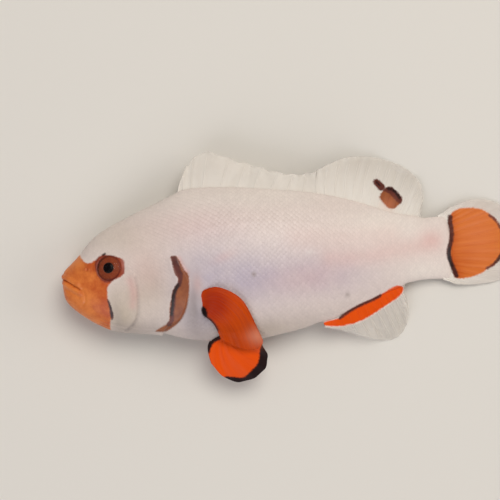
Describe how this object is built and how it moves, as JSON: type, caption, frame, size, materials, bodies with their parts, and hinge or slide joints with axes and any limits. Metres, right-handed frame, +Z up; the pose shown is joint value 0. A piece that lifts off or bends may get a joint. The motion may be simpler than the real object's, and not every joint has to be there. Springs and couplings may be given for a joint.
{
  "type": "clownfish",
  "caption": "Life-size still model of a white aquarium clownfish with orange face and fins, lying on its right side with its fins spread.",
  "frame": {"origin": "on the floor, under the middle of the whole fish", "axes": "+X from the lips to the tail, +Y from the belly to the back, +Z up, out of the fish's left side"},
  "size_m": [0.09, 0.0452, 0.0149],
  "materials": {
    "white_skin": "wet, faintly scaled fish skin, cream on the back and lavender grey on the belly",
    "orange_skin": "wet orange fish skin of the face",
    "clear_fin": "thin milky fin membrane between fine rays",
    "orange_fin": "orange fin membrane with dark margins and fine rays",
    "wet_eye": "clear domed eye with a red-brown iris and black pupil"
  },
  "bodies": {
    "root": {"head": "white_skin", "upper_jaw": "orange_skin", "lower_jaw": "orange_skin", "gill_cover_left": "white_skin", "gill_cover_right": "white_skin", "eye_left": "wet_eye", "eye_right": "wet_eye", "trunk": "white_skin", "tail": "white_skin", "dorsal_fin_spiny": "clear_fin", "dorsal_fin_soft": "clear_fin", "anal_fin": "orange_fin", "tail_fin": "orange_fin", "pectoral_fin_left": "orange_fin", "pectoral_fin_right": "orange_fin", "pelvic_fin_left": "orange_fin", "pelvic_fin_right": "orange_fin"}
  },
  "joints": []
}
